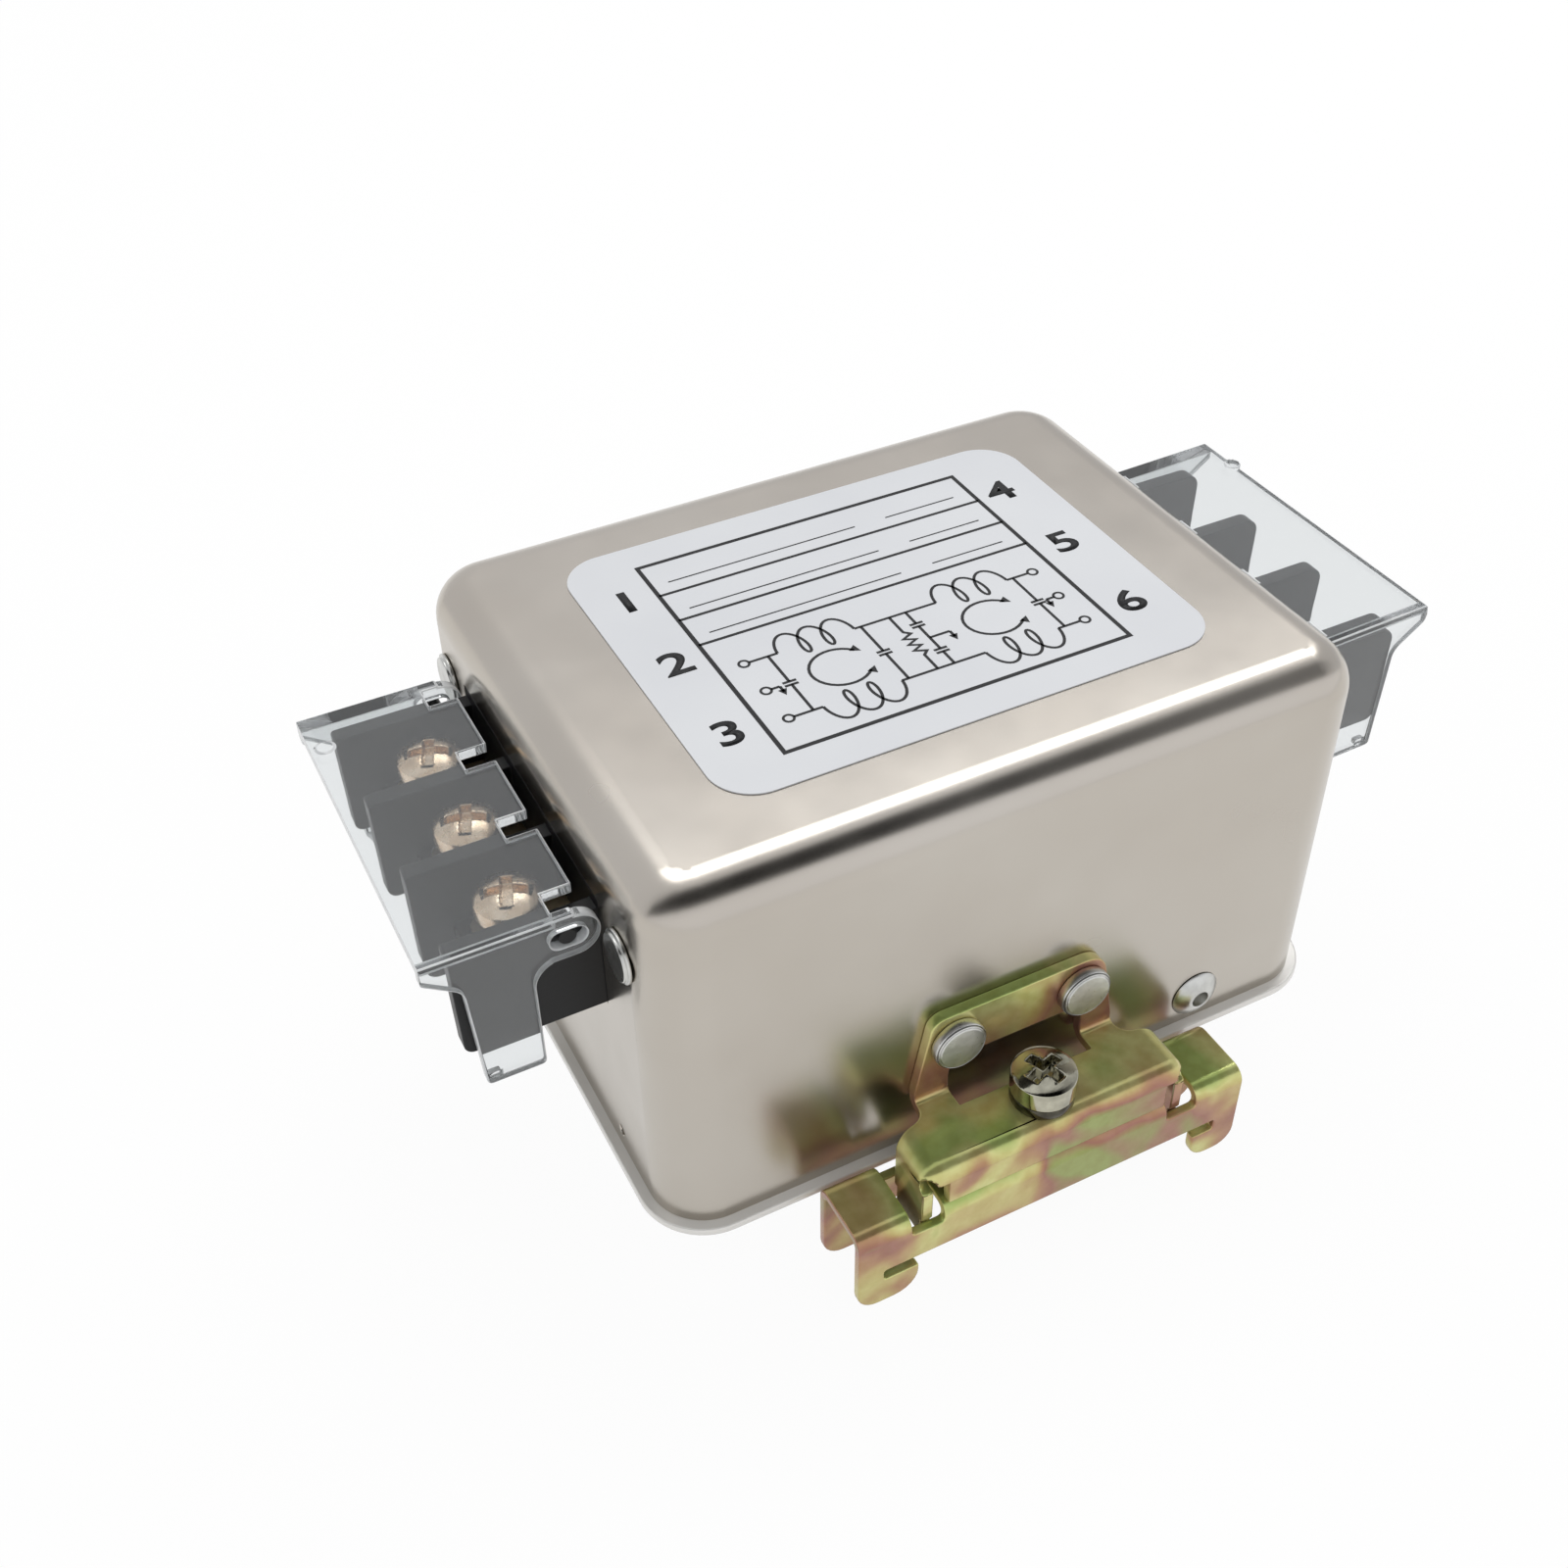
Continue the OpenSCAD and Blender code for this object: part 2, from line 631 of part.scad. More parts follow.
// Bracket: plate on the can's side, shelf, front lip and two legs, folded from one sheet
module bracket() {
    t = bracket_t;
    r = bend_r;
    wide = leg_span / 2;
    lip_low = clip_rise + fit;
    lip_top = shelf_z - t - r;
    tip_y = -clip_y - clip_depth / 2 + clip_t + 0.15;
    difference() {
        union() {
            // Plate and the upper bend
            intersection() {
                along_x(clip_x - plate_half, clip_x + plate_half) {
                    translate([-side_y - t, shelf_low + r + t]) square([t, plate_top - shelf_low - r - t]);
                    translate([-side_y - t - r, shelf_low + r + t]) rotate(-90) bend(r, t);
                }
                translate([clip_x, 0, 0]) along_y(-side_y - t - r - 1, -side_y + 1) polygon(soften(
                    [[-plate_half, shelf_low - 1], [plate_half, shelf_low - 1], [plate_half, shelf_z + 1],
                        [plate_head, plate_top], [-plate_head, plate_top], [-plate_half, shelf_z + 1]],
                    [0, 0, 0, 2.6, 1.6, 0]));
            }
            // Shelf and side bends, flared out from the neck
            intersection() {
                translate([clip_x, 0, 0]) along_y(-shelf_out + t + r, -side_y - t - r) {
                    translate([-wide + t + r, shelf_low]) square([2 * (wide - t - r), t]);
                    for (s = [0, 1]) mirror([s, 0]) translate([wide - t - r, lip_top]) bend(r, t);
                }
                flare();
            }
            // Legs, with a round top where the slit beside the lip ends and a tip between the clip's flanges
            intersection() {
                translate([clip_x, 0, 0]) for (s = [0, 1]) mirror([s, 0, 0]) along_x(wide - t, wide)
                    polygon(soften(
                        [[-leg_y - leg_w / 2, leg_low], [tip_y, leg_low], [tip_y, leg_tip],
                            [leg_w / 2 - 0.7 - leg_y, leg_tip], [leg_w / 2 - 0.7 - leg_y, leg_low],
                            [-side_y, leg_low], [-side_y, lip_top], [-leg_y - leg_w / 2, lip_top]],
                        [0.3, 0, 0.3, 0.3, 0, 0, 0, 1.1]));
                flare();
            }
            // Rounded corners between the front and side bends
            for (s = [-1, 1]) translate([clip_x + s * (wide - t - r), -shelf_out + t + r, lip_top])
                intersection() {
                    rotate([90, 0, -s * 45]) difference() {
                        sphere(r + t);
                        sphere(r);
                    }
                    translate([s > 0 ? -e : -r - t - e, -r - t - e, 0])
                        cube([r + t + 2 * e, r + t + 2 * e, r + t + e]);
                }
            // Front bend and lip
            along_x(clip_x - wide + t + r, clip_x + wide - t - r)
                translate([-shelf_out + t + r, lip_top]) rotate(90) bend(r, t);
            along_x(clip_x - lip_w / 2, clip_x + lip_w / 2)
                translate([-shelf_out, lip_low]) square([t, lip_top - lip_low + e]);
        }
        for_bracket_rivets() cylinder(d = rivet_d + 2 * fit, h = 12, center = true);
        // Window across the upper bend, under the rivets
        translate([clip_x, 0, 0]) along_y(-side_y - t - r - 1, -side_y + 1) polygon(soften(
            [[-window_w / 2, shelf_low - 1], [window_w / 2, shelf_low - 1],
                [window_w / 2, window_top], [-window_w / 2, window_top]], [0, 0, 2, 2]));
        translate([clip_x - window_w / 2, -side_y - 3.4, shelf_low - 1]) cube([window_w, 3.4, 3]);
        translate([clip_x, -clip_y, 0]) cylinder(d = clip_screw_d + 0.4, h = 30);
        // Round end of the slit between the lip and each leg
        for (s = [-1, 1])
            translate([clip_x + s * (wide - t - r), -shelf_out + t + r, lip_top - 0.2]) rotate([90, 0, s * 45])
                translate([0, 0, -0.5]) cylinder(r = 0.9, h = 4);
    }
}

module front_bracket() {
    color("#a8a052") at_front() bracket();
}

module rear_bracket() {
    color("#a8a052") at_rear() bracket();
}

module flat_rivet() {
    rotate_extrude() {
        translate([0, bracket_t + fit]) square([rivet_head_d / 2, rivet_head_h - 0.25]);
        translate([0, bracket_t + fit]) square([rivet_head_d / 2 - 0.3, rivet_head_h]);
        translate([0, -can_t - fit - 0.9]) square([rivet_d / 2, can_t + bracket_t + 2 * fit + 0.9 + e]);
        translate([0, -can_t - fit - 0.9]) square([rivet_d / 2 + 0.9, 0.9]);
    }
}

module front_bracket_rivets() {
    color("#9a9a98") at_front() for_bracket_rivets() flat_rivet();
}

module rear_bracket_rivets() {
    color("#9a9a98") at_rear() for_bracket_rivets() flat_rivet();
}

// Channel section of the clip, open below
module clip_section() {
    r = bend_r;
    t = clip_t;
    for (s = [-1, 1]) translate([-clip_y, 0]) {
        translate([s > 0 ? clip_depth / 2 - t : -clip_depth / 2, hook_low])
            square([t, clip_rise - hook_low - r - t]);
        translate([s * (clip_depth / 2 - t - r), clip_rise - t - r]) mirror([s > 0 ? 0 : 1, 0]) bend(r, t);
    }
    translate([-clip_y - clip_depth / 2 + t + r, clip_rise - t]) square([clip_depth - 2 * t - 2 * r, t]);
}

// The clip from the front: two wings, the legs' notches and the hooks that face each other
module clip_outline() {
    seat = -rail_gap;
    lip = seat - slot_h;
    polygon(soften(
        [[clip_x0, hook_low], [spring_tip, hook_low], [spring_tip, lip], [spring_x, lip], [spring_x, seat],
            [fixed_x, seat], [fixed_x, lip], [fixed_tip, lip], [fixed_tip, hook_low], [clip_x1, hook_low],
            [clip_x1, clip_rise + 1], [clip_x + notch_out, clip_rise + 1], [clip_x + notch_out, notch_low],
            [clip_x + notch_in, notch_low], [clip_x + notch_in, clip_rise + 1], [clip_x - notch_in, clip_rise + 1],
            [clip_x - notch_in, notch_low], [clip_x - notch_out, notch_low], [clip_x - notch_out, clip_rise + 1],
            [clip_x0, clip_rise + 1]],
        [2.2, 2.6, 0.3, 0.3, 0.3, 0.3, 0.3, 0.3, 2, 2.2, 0, 0, 0.4, 0.4, 0, 0, 0.4, 0.4, 0, 0]));
}

module rail_clip() {
    difference() {
        intersection() {
            along_x(clip_x0 - 1, clip_x1 + 1) clip_section();
            along_y(-clip_y - clip_depth, -clip_y + clip_depth) clip_outline();
        }
        translate([clip_x, -clip_y, 0]) cylinder(d = clip_screw_d + 2 * fit, h = 10);
    }
}

module front_rail_clip() {
    color("#b5a65a") at_front() rail_clip();
}

module rear_rail_clip() {
    color("#b5a65a") at_rear() rail_clip();
}

// Leaf spring under a wing: flat foot on the web, bowed tongue that bears on the rail's edge
spring_t = 0.4;
spring_w = clip_depth - 2 * clip_t - 1;
spring_low = -rail_gap - slot_h - 0.8;
tongue_x = spring_x + 0.6;
tongue_h = clip_rise - clip_t - 1.2 - spring_low;
function tongue(s) = [tongue_x + 3.1 * sin(150 * s), clip_rise - clip_t - 1.2 - tongue_h * s];
function tongue_side(k, n) = [for (i = [0:n]) tongue(i / n) + [k * spring_t / 2, 0]];
function back(list) = [for (i = [len(list) - 1:-1:0]) list[i]];

module rail_spring() {
    steps = 16;
    foot_l = 2;
    translate([0, -clip_y + spring_w / 2, 0]) rotate([90, 0, 0]) linear_extrude(spring_w) {
        polygon(concat(tongue_side(-1, steps), back(tongue_side(1, steps))));
        translate([tongue_x - spring_t / 2, clip_rise - clip_t - 1.2 - e]) square([spring_t, 1.2 - fit + e]);
        translate([tongue_x - foot_l, clip_rise - clip_t - spring_t - fit])
            square([foot_l + spring_t / 2, spring_t]);
    }
}

module front_rail_spring() {
    color("#8d8f92") at_front() rail_spring();
}

module rear_rail_spring() {
    color("#8d8f92") at_rear() rail_spring();
}

module clip_screw() {
    translate([clip_x, -clip_y, shelf_z + washer_t + 2 * fit])
        pan_screw(clip_screw_d, clip_head_d, clip_head_h, shelf_z + washer_t - clip_rise + clip_t + 1.5,
            1.2 * clip_head_d);
}

module front_clip_screw() {
    color("#b9b68e") at_front() clip_screw();
}

module rear_clip_screw() {
    color("#b9b68e") at_rear() clip_screw();
}

// Split spring washer, flattened as it is when the screw is tight
module spring_washer() {
    translate([clip_x, -clip_y, shelf_z + fit]) rotate_extrude(angle = 350)
        translate([clip_screw_d / 2 + 0.15, 0]) square([1, washer_t]);
}

module front_spring_washer() {
    color("#9b9678") at_front() spring_washer();
}

module rear_spring_washer() {
    color("#9b9678") at_rear() spring_washer();
}

// Places on the circuit board
board_l = can_l - 2 * can_t - 2;
board_w = can_w - 2 * can_t - 2 * base_t - 1.6;
support_x = board_l / 2 - 7;
support_y = board_w / 2 - 4;
lead_x = can_l / 2 + lead_reach;
end_cap_x = lead_x - 4.3;
mid_cap_y = board_w / 2 - 6.5;
y_cap_x = 10;
y_cap_y = -board_w / 2 + 4;
pin_d = 0.8;
y_pin = 3.75;
x_pin = 7.5;

module pin_hole(d) {
    translate([0, 0, -e]) cylinder(d = d + 2 * fit, h = board_t + 2 * e);
}

module for_leads(s) {
    for (i = [0:ways - 1]) translate([s * lead_x, (i - (ways - 1) / 2) * pitch, 0]) children();
}

module for_supports() {
    for (sx = [-1, 1], sy = [-1, 1]) translate([sx * support_x, sy * support_y, 0]) children();
}

module for_component_pins() {
    for (s = [-1, 1], p = [-x_pin, x_pin]) translate([s * end_cap_x, p, 0]) children();
    for (p = [-x_pin, x_pin]) translate([p, mid_cap_y, 0]) children();
    for (s = [-1, 1], p = [-y_pin, y_pin]) translate([s * y_cap_x + p, y_cap_y, 0]) children();
    for (p = [-y_pin, y_pin]) translate([p, y_cap_y, 0]) children();
}

module circuit_board() {
    color("#2f6b3a") translate([0, 0, base_z + board_z]) difference() {
        linear_extrude(board_t) round_rect(board_l, board_w, corner_r - can_t);
        for_supports() pin_hole(2.4);
        for (s = [-1, 1]) for_leads(s) pin_hole(lead_d);
        for_component_pins() pin_hole(pin_d);
    }
}

module board_supports() {
    color("#e9e6dc") translate([0, 0, base_z + base_t]) for_supports() {
        cylinder(d = 6, h = support_h);
        cylinder(d = 2.4, h = support_h + board_t + 0.6);
    }
}

module choke_core() {
    r = 1;
    translate([0, 0, choke_z]) rotate_extrude() translate([core_mid, core_h / 2])
        round_rect((core_od - core_id) / 2, core_h, r);
}

module line_choke_core() {
    color("#3b3a38") translate([-choke_x, 0, base_z]) choke_core();
}

module load_choke_core() {
    color("#3b3a38") translate([choke_x, 0, base_z]) choke_core();
}

// One winding: a round wire laid in turns over one half of the ring core
function squash(v) = sign(v) * pow(abs(v), 0.35);
wind_span = 150;
function wind_point(t, half) =
    let (
        a = half * 180 + 90 - wind_span / 2 + wind_span * t / turns,
        b = 360 * t - 90,
        out = core_mid + ((core_od - core_id) / 4 + wrap) * squash(cos(b)),
        up = choke_z + core_h / 2 + (core_h / 2 + wrap) * squash(sin(b))
    )
    [out * cos(a), out * sin(a), up];
function ring_at(p, q, d, n) =
    let (
        w = unit(q - p),
        u = unit(cross(w, abs(w[2]) > 0.9 ? [1, 0, 0] : [0, 0, 1])),
        v = cross(w, u)
    )
    [for (k = [0:n - 1]) (p + q) / 2 + (u * cos(360 * k / n) + v * sin(360 * k / n)) * d / 2];

module swept_wire(path, d, n) {
    rings = [for (i = [0:len(path) - 2]) each ring_at(path[i], path[i + 1], d, n)];
    m = len(path) - 1;
    polyhedron(rings, concat(
        [[for (k = [0:n - 1]) k]],
        [[for (k = [n - 1:-1:0]) (m - 1) * n + k]],
        [for (i = [0:m - 2], k = [0:n - 1])
            [i * n + k, (i + 1) * n + k, (i + 1) * n + (k + 1) % n, i * n + (k + 1) % n]]));
}

module winding(half) {
    swept_wire([for (i = [0:turns * turn_rings]) wind_point(i / turn_rings, half)], wire_d, wire_sides);
}

module line_winding(half) {
    color("#b5652c") translate([-choke_x, 0, base_z]) winding(half);
}

module load_winding(half) {
    color("#b5652c") translate([choke_x, 0, base_z]) winding(half);
}

// Boxed film capacitor with two pins through the board
module film_capacitor(t, h) {
    l = 18;
    translate([0, 0, base_z + part_z]) linear_extrude(h) round_rect(l, t, 0.5);
    for (s = [-1, 1]) translate([s * x_pin, 0, base_z + board_z - 1.2]) cylinder(d = pin_d, h = board_t + 1.2 + e);
}

module x_capacitor(i) {
    color("#c9b23c") {
        if (i == 2) translate([0, mid_cap_y, 0]) film_capacitor(7, 12);
        else translate([(i - 2) * end_cap_x, 0, 0]) rotate([0, 0, 90]) film_capacitor(5, 12);
    }
}

// Disc capacitor that stands on its two pins
module y_capacitor(i) {
    disc_d = 9;
    color("#2f6fb0") translate([(2 * i - 3) * y_cap_x, y_cap_y, base_z]) {
        translate([0, 0, part_z + disc_d / 2 + 0.4]) rotate([90, 0, 0]) cylinder(d = disc_d, h = 4, center = true);
        for (s = [-1, 1]) translate([s * y_pin, 0, board_z - 1.2]) cylinder(d = pin_d, h = board_t + 1.2 + 3.4);
    }
}

module bleed_resistor() {
    color("#b9a88a") translate([0, y_cap_y, base_z]) {
        translate([0, 0, part_z + 2.2]) rotate([0, 90, 0]) cylinder(d = 3.4, h = 2 * y_pin + pin_d, center = true);
        for (s = [-1, 1]) translate([s * y_pin, 0, board_z - 1.2]) cylinder(d = pin_d, h = board_t + 1.2 + 2.2);
    }
}

module leads(s) {
    low = board_z - 1.2;
    color("#b5652c") translate([0, 0, base_z + low]) for_leads(s)
        cylinder(d = lead_d, h = bay_floor + strip_t + 0.6 - low);
}

// Earth lug: held under the front blind rivet's lug and turned in over the board
module earth_lug() {
    w = 5;
    t = 0.6;
    y0 = -lug_y + base_t + fit;
    foot = 5;
    color("#c6c2b8") translate([base_rivet_x, 0, base_z]) difference() {
        union() {
            translate([-w / 2, y0, base_t + 1]) cube([w, t, part_z + t - base_t - 1]);
            translate([-w / 2, y0, part_z + fit]) cube([w, foot, t - fit]);
        }
        translate([0, y0, base_rivet_z]) rotate([90, 0, 0]) cylinder(d = 4.6, h = 6, center = true);
    }
}

can();
base_plate();
base_rivets();
rating_label();
line_block();
load_block();
line_block_rivets();
load_block_rivets();
line_terminal(1);  // line_terminal_1
line_terminal(2);  // line_terminal_2
line_terminal(3);  // line_terminal_3
load_terminal(1);  // load_terminal_1
load_terminal(2);  // load_terminal_2
load_terminal(3);  // load_terminal_3
line_screw(1);  // line_screw_1
line_screw(2);  // line_screw_2
line_screw(3);  // line_screw_3
load_screw(1);  // load_screw_1
load_screw(2);  // load_screw_2
load_screw(3);  // load_screw_3
line_cover();
load_cover();
front_bracket();
rear_bracket();
front_bracket_rivets();
rear_bracket_rivets();
front_rail_clip();
rear_rail_clip();
front_rail_spring();
rear_rail_spring();
front_clip_screw();
rear_clip_screw();
front_spring_washer();
rear_spring_washer();
circuit_board();
board_supports();
line_choke_core();
load_choke_core();
line_winding(0);  // line_choke_winding_1
line_winding(1);  // line_choke_winding_2
load_winding(0);  // load_choke_winding_1
load_winding(1);  // load_choke_winding_2
x_capacitor(1);  // x_capacitor_1
x_capacitor(2);  // x_capacitor_2
x_capacitor(3);  // x_capacitor_3
y_capacitor(1);  // y_capacitor_1
y_capacitor(2);  // y_capacitor_2
bleed_resistor();
leads(-1);  // line_leads
leads(1);  // load_leads
earth_lug();
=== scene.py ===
# A two-stage EMI line filter: a drawn steel can between two barrier blocks under clear hinged
# covers, with a bracket and a stamped rail clip on each long side. Lengths are in metres.
import json
import math

import bmesh
import bpy
from mathutils import Euler, Matrix, Vector


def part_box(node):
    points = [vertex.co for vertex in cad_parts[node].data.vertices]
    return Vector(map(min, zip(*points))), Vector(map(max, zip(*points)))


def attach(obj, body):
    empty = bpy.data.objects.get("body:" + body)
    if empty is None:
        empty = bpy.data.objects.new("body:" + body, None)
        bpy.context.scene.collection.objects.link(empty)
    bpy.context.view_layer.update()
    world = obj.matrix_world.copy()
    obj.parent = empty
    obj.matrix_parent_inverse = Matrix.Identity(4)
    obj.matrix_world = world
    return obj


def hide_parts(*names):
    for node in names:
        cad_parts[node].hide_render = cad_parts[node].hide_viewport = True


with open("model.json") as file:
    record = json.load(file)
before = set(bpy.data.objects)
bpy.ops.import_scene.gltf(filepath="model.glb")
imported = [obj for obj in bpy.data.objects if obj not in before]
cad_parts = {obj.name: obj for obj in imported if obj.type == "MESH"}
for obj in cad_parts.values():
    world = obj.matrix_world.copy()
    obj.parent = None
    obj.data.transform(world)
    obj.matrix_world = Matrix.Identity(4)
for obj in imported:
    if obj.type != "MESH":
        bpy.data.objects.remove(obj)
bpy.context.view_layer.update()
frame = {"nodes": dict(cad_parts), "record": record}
nodes = frame["nodes"]
body_of = {}
for body, members in frame["record"]["behaviour"]["bodies"].items():
    body_of.update(dict.fromkeys(members, body))
MM = 0.001


# Camera: stands to the left and in front, above the filter, and looks down on its top, its
# front side and the line end, as the photograph does.
def in_scene(name, data):
    """An object with the given data, put in the scene."""
    made = bpy.data.objects.new(name, data)
    bpy.context.scene.collection.objects.link(made)
    return made


camera = bpy.data.cameras.new("camera")
camera.sensor_width = 36
camera.lens = 41.798
camera.shift_x = 0.0053
camera.shift_y = -0.0342
camera.clip_start = 0.01
camera_stand = in_scene("camera", camera)
camera_stand.location = Vector((-72.66, -124.551, 152.496)) * MM
camera_stand.rotation_euler = Euler([math.radians(turn) for turn in (50.6595, 0.9576, -26.9645)])
bpy.context.scene.camera = camera_stand
bpy.context.scene.view_settings.view_transform = "Standard"


# Studio: a white table in a white room. In what the metal mirrors, the photographer's side above
# the table is dark and draws the dark line along the can's rounded edge, a pale wall low in
# front lights the can's side, and the room is greyer beyond the load end.
def paint(hex_colour):
    """A linear colour from an sRGB hex value."""
    levels = [int(hex_colour[i : i + 2], 16) / 255 for i in (1, 3, 5)]
    return [v / 12.92 if v <= 0.04045 else ((v + 0.055) / 1.055) ** 2.4 for v in levels] + [1]


def add(tree, kind, sockets, stops=(), **settings):
    """Adds a node to a tree: its settings, a ramp's stops, and a value or a link for each socket."""
    made = tree.nodes.new("ShaderNode" + kind)
    for key, value in settings.items():
        setattr(made, key, value)
    for place, (position, hex_colour) in enumerate(stops):
        ramp = made.color_ramp.elements
        stop = ramp[place] if place < 2 else ramp.new(position)
        stop.position = position
        stop.color = paint(hex_colour)
    for key, value in sockets.items():
        if isinstance(value, bpy.types.NodeSocket):
            tree.links.new(value, made.inputs[key])
        else:
            made.inputs[key].default_value = value
    return made


def ray_kinds(tree):
    """The kinds of ray, and a 1 for those that the camera sees, straight or through a cover."""
    rays = add(tree, "LightPath", {}).outputs
    seen = add(
        tree, "Math", {0: rays["Is Camera Ray"], 1: rays["Is Transmission Ray"]}, operation="MAXIMUM")
    return rays, seen.outputs[0]


def band(tree, across, height, core, rim, outside, inside):
    """A brightness that changes from outside to inside over a long band of the room in front of
    the filter. The band's height above the table and the half widths of its core and its rim are
    in degrees."""
    rise = math.radians(height)
    middle = (0, -math.cos(rise), math.sin(rise))
    near = add(tree, "VectorMath", {0: across, 1: middle}, operation="DOT_PRODUCT").outputs["Value"]
    return add(
        tree, "MapRange",
        {"Value": near, "From Min": math.cos(math.radians(rim)), "From Max": math.cos(math.radians(core)),
         "To Min": outside, "To Max": inside}, interpolation_type="SMOOTHSTEP").outputs[0]


room_light = 0.68
room_shine = 0.82
far_shine = 0.68
wall_shine = 1.05
room = bpy.data.worlds.new("room")
room.use_nodes = True
bpy.context.scene.world = room
tree = room.node_tree
tree.nodes.clear()
aim = add(tree, "TexCoord", {}).outputs["Generated"]
across = add(tree, "VectorMath", {0: aim, 1: (0, 1, 1)}, operation="MULTIPLY").outputs[0]
across = add(tree, "VectorMath", {0: across}, operation="NORMALIZE").outputs[0]
loadward = add(tree, "SeparateXYZ", {"Vector": aim}).outputs["X"]
room_level = add(
    tree, "MapRange",
    {"Value": loadward, "From Min": 0.25, "From Max": 0.65, "To Min": room_shine, "To Max": far_shine})
dark_level = add(
    tree, "MapRange",
    {"Value": loadward, "From Min": 0.4, "From Max": 0.95, "To Min": 0.0, "To Max": far_shine})
with_dark_side = band(
    tree, across, height=64, core=14, rim=24, outside=room_level.outputs[0], inside=dark_level.outputs[0])
with_wall = band(tree, across, height=20, core=17, rim=24, outside=with_dark_side, inside=wall_shine)
rays, seen = ray_kinds(tree)
reflected = add(tree, "Background", {"Color": paint("#fbfcff"), "Strength": with_wall})
plain = add(tree, "Background", {"Color": paint("#ffffff"), "Strength": room_light})
white = add(tree, "Background", {"Color": paint("#ffffff"), "Strength": 1.0})
soft = add(tree, "MixShader", {0: rays["Is Glossy Ray"], 1: plain.outputs[0], 2: reflected.outputs[0]})
both = add(tree, "MixShader", {0: seen, 1: soft.outputs[0], 2: white.outputs[0]})
add(tree, "OutputWorld", {"Surface": both.outputs[0]})


def blank_material(name):
    """A material without nodes, and its tree."""
    made = bpy.data.materials.new(name)
    made.use_nodes = True
    made.node_tree.nodes.clear()
    return made, made.node_tree


table_half = 1.5
white_seen = 0.95
white_mirrored = 0.75
table_mesh = bpy.data.meshes.new("table")
table_mesh.from_pydata(
    [(x * table_half, y * table_half, 0) for x, y in ((-1, -1), (1, -1), (1, 1), (-1, 1))],
    [], [(0, 1, 2, 3)])
table = in_scene("table", table_mesh)
paper, tree = blank_material("white_paper")
rays, seen = ray_kinds(tree)
matt = add(tree, "BsdfDiffuse", {"Color": paint("#f4f4f4")})
glow = add(tree, "Emission", {"Color": paint("#ffffff"), "Strength": 1.0})
mirrored = add(tree, "Math", {0: rays["Is Glossy Ray"], 1: white_mirrored}, operation="MULTIPLY")
share = add(
    tree, "Math", {0: seen, 1: white_seen, 2: mirrored.outputs[0]},
    operation="MULTIPLY_ADD", use_clamp=True)
both = add(tree, "MixShader", {0: share.outputs[0], 1: matt.outputs[0], 2: glow.outputs[0]})
add(tree, "OutputMaterial", {"Surface": both.outputs[0]})
table_mesh.materials.append(paper)

# Strip box: a long soft lamp behind and above the filter, where the flat top just fails to
# mirror it and the rounded front edge does.
strip_place = Vector((0.30, 0.31, 0.71))
strip_lamp = bpy.data.lights.new("rear_strip_box", "AREA")
strip_lamp.shape = "RECTANGLE"
strip_lamp.size = 0.90
strip_lamp.size_y = 0.31
strip_lamp.energy = 3.0
strip_stand = in_scene("rear_strip_box", strip_lamp)
strip_stand.location = strip_place
strip_stand.rotation_euler = (-math.atan2(strip_place.y, strip_place.z), 0, 0)


# Can: deep-drawn steel sheet, nickel plated after drawing. The plating is warm and satin: it
# mirrors the table softly, with a faint cloudiness and a fine grain.
def drift(tree, at, patch, deep, pale):
    """A cloud over patches of that many millimetres, and a tone that follows it between two
    colours."""
    cloud = add(tree, "TexNoise", {"Vector": at, "Scale": 1 / (patch * MM), "Detail": 3.0}).outputs["Fac"]
    tone = add(tree, "ValToRGB", {"Fac": cloud}, stops=[(0.3, deep), (0.7, pale)]).outputs["Color"]
    return cloud, tone


def grained(tree, at, grain, relief):
    """The lie of a surface with a grain of that many millimetres and that much relief."""
    grit = add(tree, "TexNoise", {"Vector": at, "Scale": 1 / (grain * MM), "Detail": 2.0}).outputs["Fac"]
    return add(tree, "Bump", {"Height": grit, "Distance": relief * MM, "Strength": 1.0}).outputs[0]


satin_spread = 0.04


def metal(name, deep, pale, patch, rough, grain, relief, bare=1.0):
    """A plated or bare metal: its colour drifts between two tones over patches of that many
    millimetres, worn and fresh spots differ a little in roughness, and a fine grain breaks up its
    reflections. Bare is the share that mirrors; the rest scatters, as dull tin does."""
    made, tree = blank_material(name)
    at = add(tree, "TexCoord", {}).outputs["Object"]
    tone = drift(tree, at, patch, deep, pale)[1]
    wear = add(tree, "TexNoise", {"Vector": at, "Scale": 3 / (patch * MM), "Detail": 2.0}).outputs["Fac"]
    satin = add(
        tree, "MapRange",
        {"Value": wear, "From Min": 0.2, "From Max": 0.8,
         "To Min": rough - satin_spread, "To Max": rough + satin_spread})
    shader = add(
        tree, "BsdfPrincipled",
        {"Base Color": tone, "Metallic": bare, "Roughness": satin.outputs[0],
         "Normal": grained(tree, at, grain, relief)})
    add(tree, "OutputMaterial", {"Surface": shader.outputs[0]})
    return made


